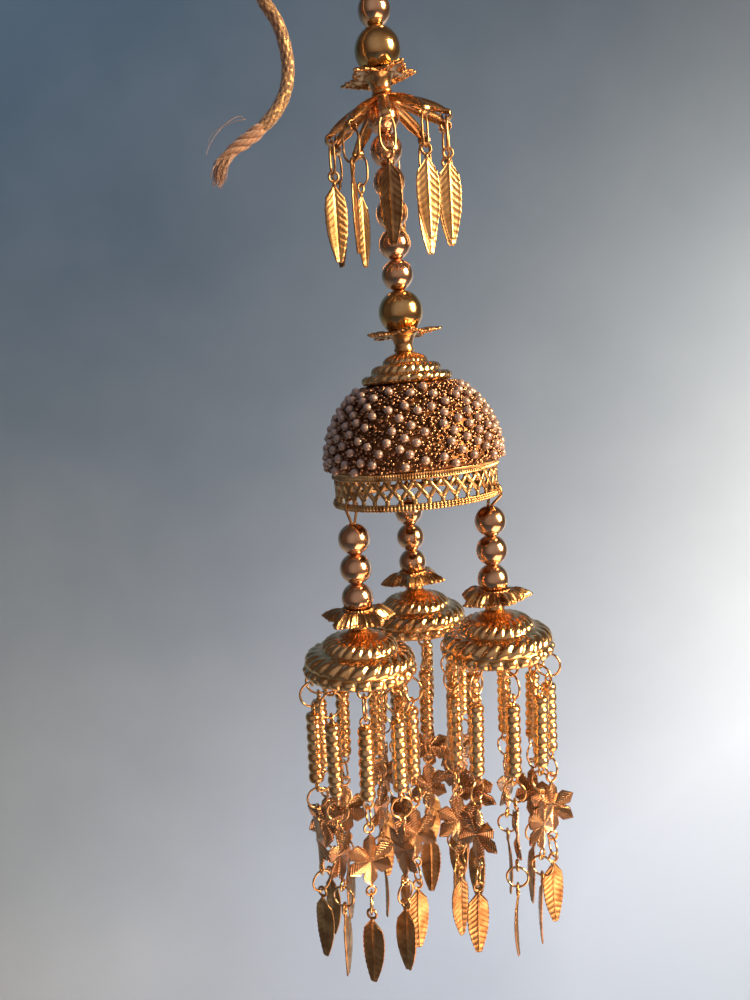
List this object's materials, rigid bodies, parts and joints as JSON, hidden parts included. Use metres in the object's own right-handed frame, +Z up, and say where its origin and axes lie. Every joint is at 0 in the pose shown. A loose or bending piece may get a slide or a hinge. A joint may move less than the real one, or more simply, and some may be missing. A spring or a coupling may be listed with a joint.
{
  "type": "kalira bangle ornament",
  "caption": "Hanging bridal bangle ornament: a cord eye over a beaded column, a leafy umbel and a pearled dome, with belled strands of leaf charms.",
  "frame": {"origin": "inside top of the cord's eye, where it is tied to the bangle", "axes": "+Z up the beaded column; -Y towards the pictured front; +X to its right"},
  "size_m": [0.0701, 0.0619, 0.2927],
  "materials": {
    "cord": "twisted cotton and metallic thread",
    "winding": "wound metallic thread",
    "rose_gold": "satin copper-gold plate on beads",
    "gold": "polished gold plate",
    "bronze": "dark gold sheet under pearls",
    "satin_gold": "satin gold plate"
  },
  "bodies": {
    "root": {"cord_loop": "cord", "cord_wrap": "winding", "cord_tail": "cord", "column_wire": "satin_gold", "top_bead_1": "rose_gold", "top_bead_2": "rose_gold", "top_bead_3": "rose_gold", "top_ball": "gold", "top_leaf_cup": "satin_gold", "umbel": "satin_gold", "umbel_drops": "satin_gold", "mid_beads": "rose_gold", "dome_ball": "gold", "dome_leaf_cup": "satin_gold", "dome_cap": "gold", "dome_shell": "bronze", "rim_gallery": "gold", "right_hook": "satin_gold", "right_beads": "rose_gold", "right_leaf_cup": "satin_gold", "right_bell": "gold", "left_hook": "satin_gold", "left_beads": "rose_gold", "left_leaf_cup": "satin_gold", "left_bell": "gold", "back_hook": "satin_gold", "back_beads": "rose_gold", "back_leaf_cup": "satin_gold", "back_bell": "gold", "right_string_1": "satin_gold", "right_string_2": "satin_gold", "right_string_3": "satin_gold", "right_string_4": "satin_gold", "right_string_5": "satin_gold", "right_string_6": "satin_gold", "right_string_7": "satin_gold", "right_string_8": "satin_gold", "right_string_9": "satin_gold", "left_string_1": "satin_gold", "left_string_2": "satin_gold", "left_string_3": "satin_gold", "left_string_4": "satin_gold", "left_string_5": "satin_gold", "left_string_6": "satin_gold", "left_string_7": "satin_gold", "left_string_8": "satin_gold", "left_string_9": "satin_gold", "back_string_1": "satin_gold", "back_string_2": "satin_gold", "back_string_3": "satin_gold", "back_string_4": "satin_gold", "back_string_5": "satin_gold", "back_string_6": "satin_gold", "back_string_7": "satin_gold", "back_string_8": "satin_gold", "back_string_9": "satin_gold"}
  },
  "joints": []
}
